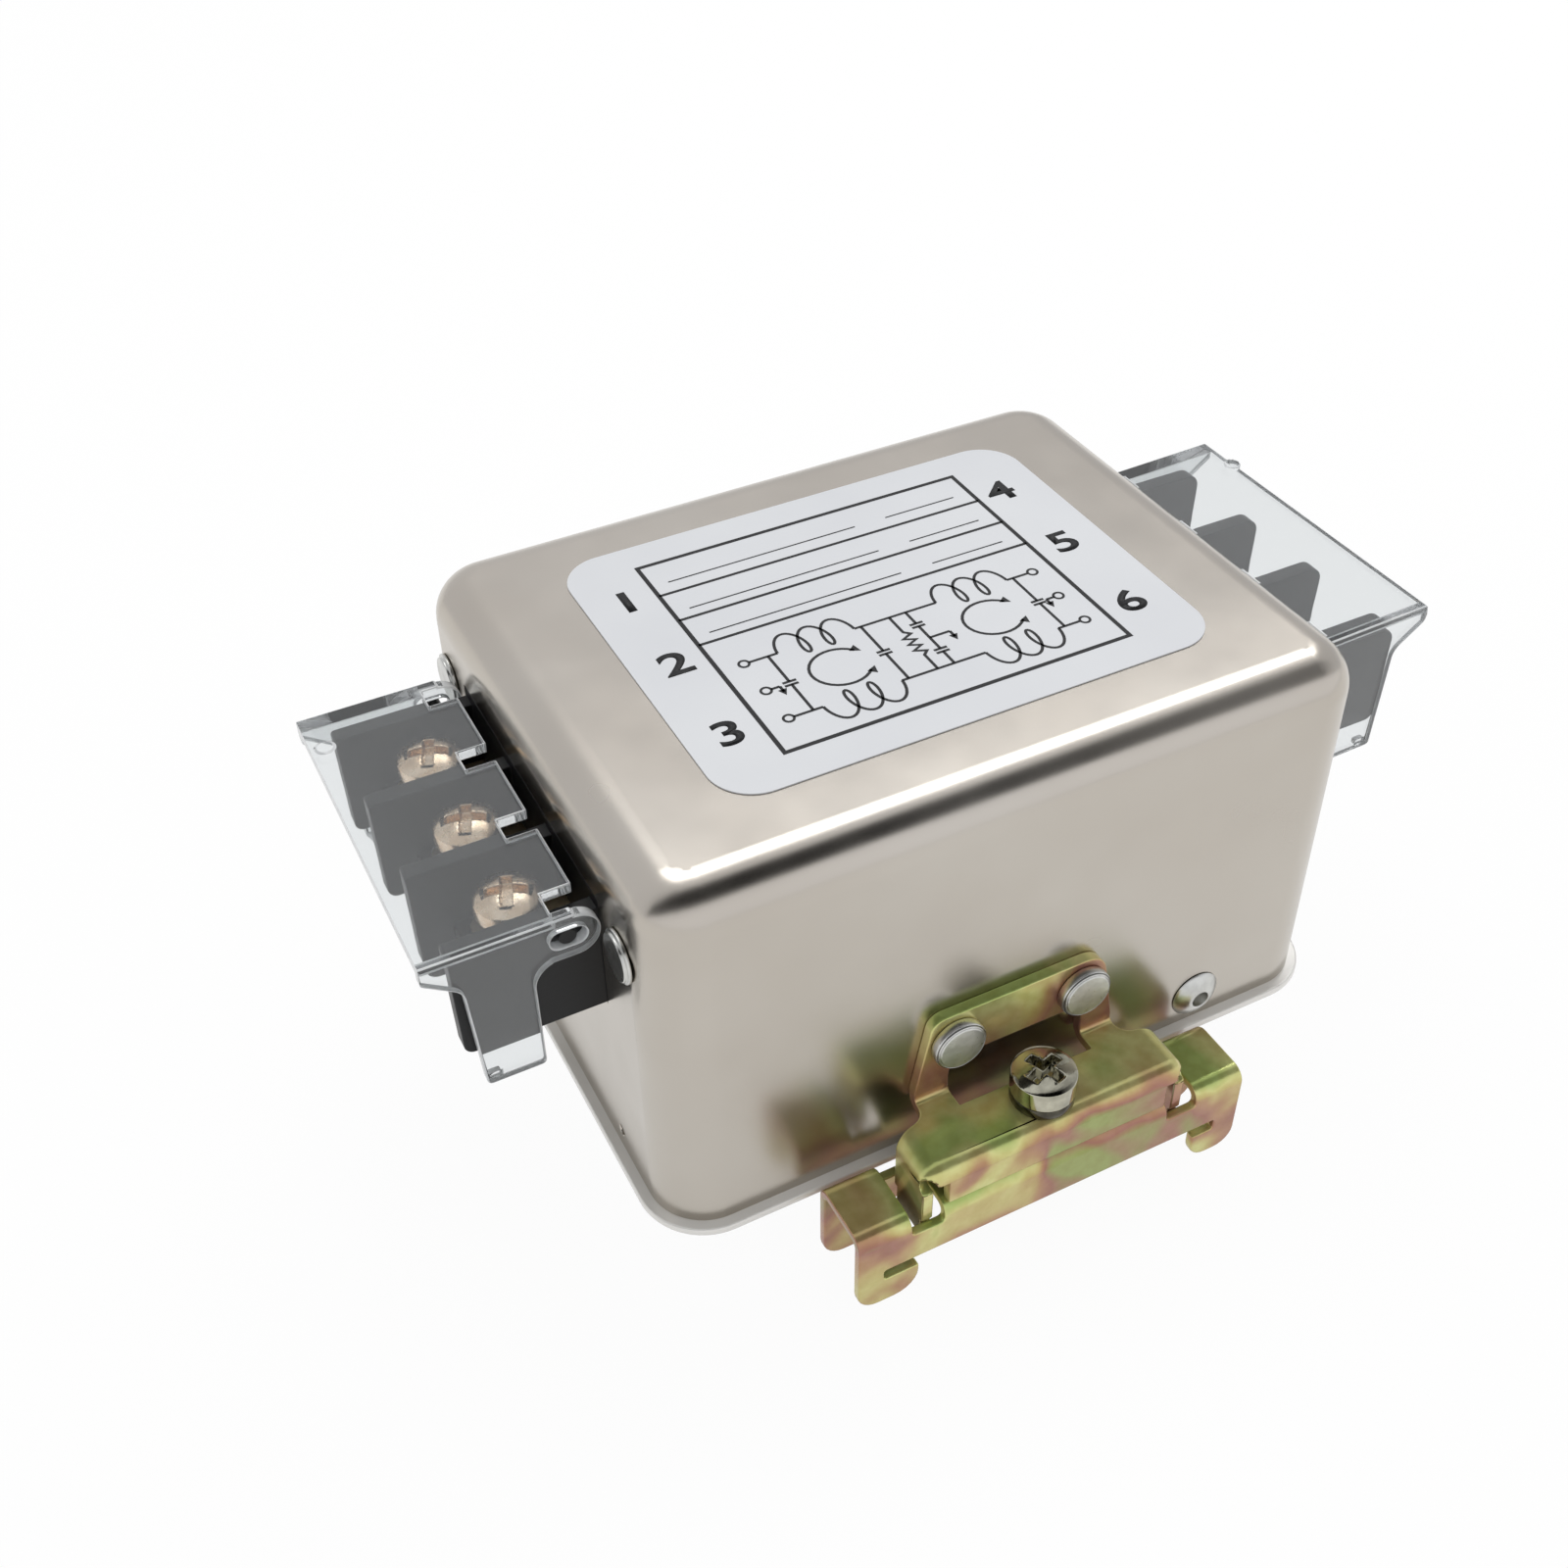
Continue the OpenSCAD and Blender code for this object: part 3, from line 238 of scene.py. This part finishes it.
def broken_edges(node, material, width, corners=()):
    """A copy of a CAD node's mesh with its sharp edges broken by width millimetres. Points a hair
    inside its outer faces are brought onto them first, and the points round each given corner onto
    it. It replaces the node and rides with its body."""
    hair = 0.012 * MM
    corner_reach = 0.32 * MM
    flat = math.radians(1)
    sharp = math.radians(32)
    work = bmesh.new()
    work.from_mesh(nodes[node].data)
    for face_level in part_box(node):
        for point in work.verts:
            for axis in range(3):
                if abs(point.co[axis] - face_level[axis]) < hair:
                    point.co[axis] = face_level[axis]
    bmesh.ops.remove_doubles(work, verts=work.verts, dist=hair)
    for corner in corners:
        close = [point for point in work.verts if (point.co - corner).length < corner_reach]
        bmesh.ops.pointmerge(work, verts=close, merge_co=corner)
    bmesh.ops.dissolve_limit(work, angle_limit=flat, verts=work.verts, edges=work.edges)
    bmesh.ops.bevel(
        work, geom=[edge for edge in work.edges if edge.calc_face_angle(0) > sharp],
        offset=width * MM, offset_type="OFFSET", segments=2, profile=0.5, affect="EDGES", loop_slide=True)
    for face in work.faces:
        face.smooth = True
        face.material_index = 0
    mesh = bpy.data.meshes.new(node + "_finished")
    work.to_mesh(mesh)
    work.free()
    if "custom_normal" in mesh.attributes:
        mesh.attributes.remove(mesh.attributes["custom_normal"])
    mesh.materials.clear()
    mesh.materials.append(material)
    piece = in_scene(node + "_finished", mesh)
    evened = piece.modifiers.new("flat_faces_stay_flat", "WEIGHTED_NORMAL")
    evened.weight = 100
    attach(piece, body_of[node])
    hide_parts(node)
    return piece


nickel = metal("satin_nickel_plate", "#beb7ad", "#c4beb5", patch=24, rough=0.245, grain=0.5, relief=0.002)
broken_edges("can", nickel, width=0.12)

# Base plate and earth strap: tinned steel sheet, pale and soft in its shine. The plate is riveted
# under the can, and its rim shows as a thin bright line with a dark foot where the can stands.
tinned = metal(
    "bright_tinned_sheet", "#f0eee9", "#f7f5f1", patch=9, rough=0.24, grain=0.4, relief=0.003, bare=0.2)
broken_edges("base_plate", tinned, width=0.25)
broken_edges("earth_lug", tinned, width=0.1)

# Blind rivets: aluminium, pulled up from outside, so each dome has a deep hole in its middle.
# Block rivets are rolled tubes and bracket rivets are solid, with dull hammered faces.
aluminium = metal("drawn_aluminium", "#bdbdb9", "#d6d6d2", patch=1.4, rough=0.3, grain=0.4, relief=0.012)
for name, width in (
    ("base_rivets", 0.1), ("line_block_rivets", 0.12), ("load_block_rivets", 0.12),
    ("front_bracket_rivets", 0.2), ("rear_bracket_rivets", 0.2),
):
    broken_edges(name, aluminium, width)


# Rating label: silver-grey polyester film, matt laminated, stuck on the top. It is die-cut with
# round corners and lies quite flat.
def moulding(name, deep, pale, patch, rough, grain, relief, shine=0.5):
    """A plastic, film or lacquer: two close tones over patches of that many millimetres, and the
    fine relief that its mould or coating left. Shine is the strength of its gloss."""
    made, tree = blank_material(name)
    at = add(tree, "TexCoord", {}).outputs["Object"]
    cloud, tone = drift(tree, at, patch, deep, pale)
    gloss = add(
        tree, "MapRange",
        {"Value": cloud, "From Min": 0.3, "From Max": 0.7,
         "To Min": rough - satin_spread, "To Max": rough + satin_spread})
    shader = add(
        tree, "BsdfPrincipled",
        {"Base Color": tone, "Roughness": gloss.outputs[0], "Normal": grained(tree, at, grain, relief),
         "Specular IOR Level": shine})
    add(tree, "OutputMaterial", {"Surface": shader.outputs[0]})
    return made


film = moulding(
    "matt_silver_polyester_film", "#d2d4d8", "#d8dadd", patch=18, rough=0.42, grain=0.6, relief=0.002)
broken_edges("rating_label", film, width=0.04)

# Print: black ink on the film. A ruled table of blank rows, the filter's circuit below it, and a
# plain number beside each terminal. Coordinates are millimetres from the can's middle.
ink = bmesh.new()
wire_width = 0.3


def stroke(points, width=wire_width, closed=False):
    """A printed line through the points, mitred where it turns."""
    points = [Vector(point) for point in points]
    last = len(points) - 1
    edges = []
    for i, point in enumerate(points):
        before = points[i - 1] if i or closed else None
        after = points[(i + 1) % (last + 1)] if i < last or closed else None
        come = (point - before).normalized() if before else (after - point).normalized()
        leave = (after - point).normalized() if after else come
        along = (come + leave).normalized()
        beside = Vector((-along.y, along.x))
        spread = width / 2 / max(along.dot(leave), 0.5)
        edges.append([ink.verts.new((*(point + beside * side * spread), 0)) for side in (1, -1)])
    for i in range(last + closed):
        here = edges[i]
        there = edges[(i + 1) % (last + 1)]
        ink.faces.new((here[0], here[1], there[1], there[0]))


def arc(centre, radii, start, end, steps=24):
    """Points along an elliptic arc, from one angle in degrees to another."""
    turns = [math.radians(start + (end - start) * i / steps) for i in range(steps + 1)]
    return [(centre[0] + radii[0] * math.cos(t), centre[1] + radii[1] * math.sin(t)) for t in turns]


def arrowhead(tip, way, size):
    """A filled arrowhead at tip that points along way."""
    way = Vector(way).normalized()
    beside = Vector((-way.y, way.x)) * size * 0.5
    back = Vector(tip) - way * size
    ink.faces.new([ink.verts.new((*p, 0)) for p in (Vector(tip), back + beside, back - beside)])


def winding(start, end, level, hump):
    """A choke's winding, drawn as three humps with small loops between them; hump is +1 up or
    -1 down."""
    humps = 3
    steps = 72
    middle = 0.65 * hump
    half = 1.85
    lean = 0.9
    enter = math.acos(middle * hump / half)
    leave = 2 * humps * math.pi - enter
    inset = lean * math.sin(enter)
    points = []
    for i in range(steps + 1):
        t = i / steps
        turn = enter + (leave - enter) * t
        x = start + inset + (end - start - 2 * inset) * t - lean * math.sin(turn)
        points.append((x, level + middle - hump * half * math.cos(turn)))
    stroke(points)


def capacitor(x, level, top, bottom, plate=1.4, gap=0.5):
    """Two plates across a vertical wire that runs from top to bottom."""
    stroke([(x, top), (x, level + gap / 2)])
    stroke([(x, level - gap / 2), (x, bottom)])
    for side in (1, -1):
        stroke([(x - plate / 2, level + side * gap / 2), (x + plate / 2, level + side * gap / 2)])


def earth(x, start, end):
    """A wire that runs down from start to an arrowhead at end."""
    stroke([(x, start), (x, end + 0.4)])
    arrowhead((x, end - 0.1), (0, -1), 0.9)


border_left = -18.2
border_right = 18.4
border_foot = -15.5
border_head = 16.8
border_width = 0.45
rule_width = 0.35
row_width = 0.16
stroke(
    [(border_left, border_foot), (border_right, border_foot), (border_right, border_head),
     (border_left, border_head)], border_width, closed=True)
for rule in (11.4, 6.8, 2.3):
    stroke([(border_left, rule), (border_right, rule)], rule_width)
for row in (13.2, 8.2, 3.7):
    stroke([(-16.4, row), (4.6, row)], row_width)
    stroke([(8.2, row), (16.4, row)], row_width)

upper = -2.3
lower = -11.4
centre = -6.9
line_choke = (-12.2, -4.0)
load_choke = (5.0, 13.1)
for level, hump in ((upper, 1), (lower, -1)):
    for start, end in ((-15.2, line_choke[0]), (line_choke[1], load_choke[0]), (load_choke[1], 15.5)):
        stroke([(start, level), (end, level)])
    winding(*line_choke, level, hump)
    winding(*load_choke, level, hump)
core_radii = (3.0, 2.7)
core_mouth = 38
for x in (-8.0, 8.6):
    stroke(arc((x, centre), core_radii, core_mouth, 360 - core_mouth))
    for side in (1, -1):
        arrowhead((x + 2.9, centre + side * 1.3), (0.8, -side), 1.0)
for x in (-13.2, -3.3, 13.8):
    capacitor(x, centre, upper, lower)

resistor = -0.2
zigzag = [
    (resistor + 0.55 * side, -5.0 - 0.5 * i) for i, side in enumerate((0, 1, -1, 1, -1, 1, -1, 1, 0))]
stroke([(resistor, upper), *zigzag, (resistor, lower)])
divider = 1.6
divider_earth = 3.8
capacitor(divider, -4.6, upper, centre)
capacitor(divider, -9.1, centre, lower)
stroke([(divider, centre), (divider_earth, centre)])
earth(divider_earth, centre, -8.3)

ring = 0.5
ring_width = 0.25
lead = 1.4
for x, inward in ((-15.7, 1), (16.1, -1)):
    for level in (upper, centre, lower):
        stroke(arc((x, level), (ring, ring), 0, 345, 23), ring_width, closed=True)
    stroke([(x + ring * inward, centre), (x + lead * inward, centre)])
    earth(x + lead * inward, centre, -8.2)

figure_height = 3.5
figure_stretch = 1.3
figure_swell = 0.02
figure_places = ((-21.4, 12), (-21.3, 0.8), (-21.4, -10.7), (21.3, 12), (21.8, 0.8), (21.7, -10.8))
for number, place in enumerate(figure_places, 1):
    letter = bpy.data.curves.new("figure", "FONT")
    letter.body = str(number)
    letter.offset = figure_swell
    stand = bpy.data.objects.new("figure", letter)
    outline = bpy.data.meshes.new_from_object(stand)
    low = Vector([min(v.co[i] for v in outline.vertices) for i in range(3)])
    high = Vector([max(v.co[i] for v in outline.vertices) for i in range(3)])
    outline.transform(
        Matrix.Translation((*place, 0)) @ Matrix.Scale(figure_height / (high.y - low.y), 4)
        @ Matrix.Diagonal((figure_stretch, 1, 1, 1)) @ Matrix.Translation(-(low + high) / 2))
    ink.from_mesh(outline)
    bpy.data.objects.remove(stand)
    bpy.data.meshes.remove(outline)

ink_film = 0.02
bmesh.ops.recalc_face_normals(ink, faces=ink.faces)
raised = bmesh.ops.extrude_face_region(ink, geom=ink.faces[:])["geom"]
bmesh.ops.translate(
    ink, vec=(0, 0, ink_film), verts=[item for item in raised if isinstance(item, bmesh.types.BMVert)])
bmesh.ops.recalc_face_normals(ink, faces=ink.faces)
bmesh.ops.scale(ink, vec=(MM, MM, MM), verts=ink.verts)
label_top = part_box("rating_label")[1].z
bmesh.ops.translate(ink, vec=(0, 0, label_top), verts=ink.verts)
print_mesh = bpy.data.meshes.new("label_print")
ink.to_mesh(print_mesh)
ink.free()
print_mesh.materials.clear()
print_mesh.materials.append(moulding(
    "black_printing_ink", "#111113", "#19191b", patch=3, rough=0.5, grain=0.4, relief=0.001, shine=0.3))
label_print = in_scene("label_print", print_mesh)
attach(label_print, "filter")

# Barrier blocks: black glass-filled phenolic, moulded with square walls between the terminals.
# Their faces have the low, slightly uneven sheen of the mould.
phenolic = moulding(
    "moulded_black_phenolic", "#121213", "#1a1a1b", patch=3, rough=0.42, grain=0.3, relief=0.006, shine=0.3)
for end in ("line", "load"):
    broken_edges(end + "_block", phenolic, width=0.14)

# Terminals: strips punched from brass and thinly nickelled, with a pale warm tone. Each has a
# pan-head screw of washed brass, paler still, with a broad cross recess that stays dark.
strip_metal = metal(
    "nickelled_brass_strip", "#c6b190", "#dacaad", patch=1.5, rough=0.3, grain=0.4, relief=0.01)
screw_metal = metal("pale_brass_wash", "#cfb192", "#ead6bf", patch=1.5, rough=0.26, grain=0.35, relief=0.01)
for end in ("line", "load"):
    for i in (1, 2, 3):
        broken_edges(f"{end}_terminal_{i}", strip_metal, width=0.1)
        broken_edges(f"{end}_screw_{i}", screw_metal, width=0.12)

# Covers: clear polycarbonate, moulded in one piece with the hinge ears and arms. The polished
# faces are clear. The thin edges gather light and read as pale lines: that light is painted on
# them as a pale, mostly opaque finish, a painted highlight.
clear, tree = blank_material("clear_polycarbonate")
at = add(tree, "TexCoord", {}).outputs["Object"]
shader = add(
    tree, "BsdfPrincipled",
    {"Base Color": paint("#e6e9ea"), "Transmission Weight": 0.97, "IOR": 1.58, "Roughness": 0.03,
     "Normal": grained(tree, at, grain=6, relief=0.02)})
add(tree, "OutputMaterial", {"Surface": shader.outputs[0]})

# Painted highlight: a pale, mostly opaque copy of the clear plastic for the edge faces, standing in for the
# light that the thin edges gather.
painted_pale_edge_light, tree = blank_material("painted_edge_light")
at = add(tree, "TexCoord", {}).outputs["Object"]
streak = add(tree, "TexNoise", {"Vector": at, "Scale": 1 / (2 * MM), "Detail": 2.0}).outputs["Fac"]
tone = add(tree, "ValToRGB", {"Fac": streak}, stops=[(0.3, "#d2d5d8"), (0.7, "#eef0f1")]).outputs["Color"]
shader = add(
    tree, "BsdfPrincipled",
    {"Base Color": tone, "Transmission Weight": 0.2, "IOR": 1.58, "Roughness": 0.2})
add(tree, "OutputMaterial", {"Surface": shader.outputs[0]})

cheek_skin = 0.03 * MM
lid_depth = 2 * MM
square_on = 0.95
for end, outward in (("line", -1), ("load", 1)):
    node = end + "_cover"
    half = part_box(node)[1].y
    corners = []
    for side in (1, -1):
        cheek = [point.co for point in nodes[node].data.vertices if point.co.y * side > half - cheek_skin]
        tip = max(cheek, key=lambda place: outward * place.x + place.z)
        corners.append(Vector((tip.x, side * half, tip.z)))
    cover = broken_edges(node, clear, 0.15, corners)
    cover.data.materials.append(painted_pale_edge_light)
    lid_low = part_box(end + "_block")[1].z - lid_depth
    # Every face that is neither cheek nor lid gets the painted edge highlight.
    for face in cover.data.polygons:
        on_cheek = abs(face.normal.y) > square_on
        on_lid = abs(face.normal.z) > square_on and face.center.z > lid_low
        face.material_index = 0 if on_cheek or on_lid else 1

# Brackets and rail clips: pressed steel, zinc plated and passivated yellow. The film shifts from
# olive and gold to copper pink in broad soft clouds. On the faces that look up it is greener, as
# the film is, and also painted lighter, a painted light for the light those faces catch.
chromate, tree = blank_material("yellow_passivated_zinc")
place = add(tree, "TexCoord", {}).outputs
cloud = add(
    tree, "TexNoise", {"Vector": place["Object"], "Scale": 1 / (11 * MM), "Detail": 2.0, "Distortion": 0.6})
# Painted light: faces that look up slide towards the lighter, greener stops of the ramp.
upward = add(tree, "SeparateXYZ", {"Vector": place["Normal"]}).outputs["Z"]
up_faces_greener_and_painted_lighter = -0.15
film_tone_and_painted_top_light = add(
    tree, "Math", {0: upward, 1: up_faces_greener_and_painted_lighter, 2: cloud.outputs["Fac"]}, operation="MULTIPLY_ADD").outputs[0]
tone = add(
    tree, "ValToRGB", {"Fac": film_tone_and_painted_top_light},
    stops=[(0.22, "#b3c675"), (0.33, "#dedc96"), (0.41, "#d0bf82"), (0.48, "#bf9773"),
           (0.56, "#ad7c6e"), (0.68, "#a3ad6a")]).outputs["Color"]
fleck = add(
    tree, "TexNoise", {"Vector": place["Object"], "Scale": 1 / (1.2 * MM), "Detail": 3.0}).outputs["Fac"]
tint = add(
    tree, "ValToRGB", {"Fac": fleck}, stops=[(0.35, "#f4f0e8"), (0.65, "#ffffff")]).outputs["Color"]
mottled = add(tree, "Mix", {0: 1.0, 6: tone, 7: tint}, data_type="RGBA", blend_type="MULTIPLY")
satin = add(
    tree, "MapRange", {"Value": fleck, "From Min": 0.3, "From Max": 0.7, "To Min": 0.17, "To Max": 0.27})
shader = add(
    tree, "BsdfPrincipled",
    {"Base Color": mottled.outputs[2], "Metallic": 0.55, "Roughness": satin.outputs[0],
     "Normal": grained(tree, place["Object"], grain=0.5, relief=0.006)})
add(tree, "OutputMaterial", {"Surface": shader.outputs[0]})
for side in ("front", "rear"):
    broken_edges(side + "_bracket", chromate, width=0.16)
    broken_edges(side + "_rail_clip", chromate, width=0.2)

# Clip screws: steel, bright zinc plated with a faint yellow cast, on split washers whose zinc
# is painted dark, a painted shade for the shadow under the screw heads. The leaf springs under
# the clips are hardened strip, left plain.
zinc = metal("bright_zinc_plate", "#9c998a", "#c3c0ae", patch=1.6, rough=0.1, grain=0.45, relief=0.005)
# Painted shade: the washers get a darkened copy of the zinc for the shadow under the screw heads.
washer_zinc_painted_shade = metal(
    "zinc_plate_painted_shade", "#3f3c36", "#5e5b50", patch=1.2, rough=0.16, grain=0.45, relief=0.005)
spring_strip = metal(
    "hardened_spring_strip", "#7f8184", "#909295", patch=2.5, rough=0.3, grain=0.4, relief=0.004)
for side in ("front", "rear"):
    broken_edges(side + "_clip_screw", zinc, width=0.14)
    broken_edges(side + "_spring_washer", washer_zinc_painted_shade, width=0.1)
    broken_edges(side + "_rail_spring", spring_strip, width=0.06)

# Inside: a glass-epoxy board on nylon posts, ferrite rings wound with enamelled copper, film
# and disc capacitors, a resistor and bare copper leads to the terminals. The can hides them,
# but each still has a finish of its own.
board = moulding("green_glass_epoxy", "#27603a", "#2f6e43", patch=2, rough=0.38, grain=0.6, relief=0.01)
nylon = moulding("white_nylon", "#e6e3d8", "#efece2", patch=2, rough=0.45, grain=0.6, relief=0.01)
ferrite = moulding("coated_ferrite", "#33322f", "#403f3b", patch=2, rough=0.6, grain=0.5, relief=0.02)
film_box = moulding("yellow_film_box", "#c8b03c", "#d2bb4a", patch=2, rough=0.4, grain=0.6, relief=0.01)
disc = moulding("blue_epoxy_disc", "#2a6aa8", "#3477b8", patch=2, rough=0.25, grain=0.8, relief=0.01)
lacquer = moulding(
    "tan_resistor_lacquer", "#b8a788", "#c6b698", patch=2, rough=0.4, grain=0.6, relief=0.01)
copper = metal("enamelled_copper", "#a3562a", "#b9683a", patch=2, rough=0.28, grain=0.6, relief=0.01)
for material, inner in (
    (board, ["circuit_board"]),
    (nylon, ["board_supports"]),
    (ferrite, ["line_choke_core", "load_choke_core"]),
    (film_box, ["x_capacitor_1", "x_capacitor_2", "x_capacitor_3"]),
    (disc, ["y_capacitor_1", "y_capacitor_2"]),
    (lacquer, ["bleed_resistor"]),
    (copper, ["line_choke_winding_1", "line_choke_winding_2", "load_choke_winding_1",
              "load_choke_winding_2", "line_leads", "load_leads"]),
):
    for name in inner:
        nodes[name].data.materials.clear()
        nodes[name].data.materials.append(material)
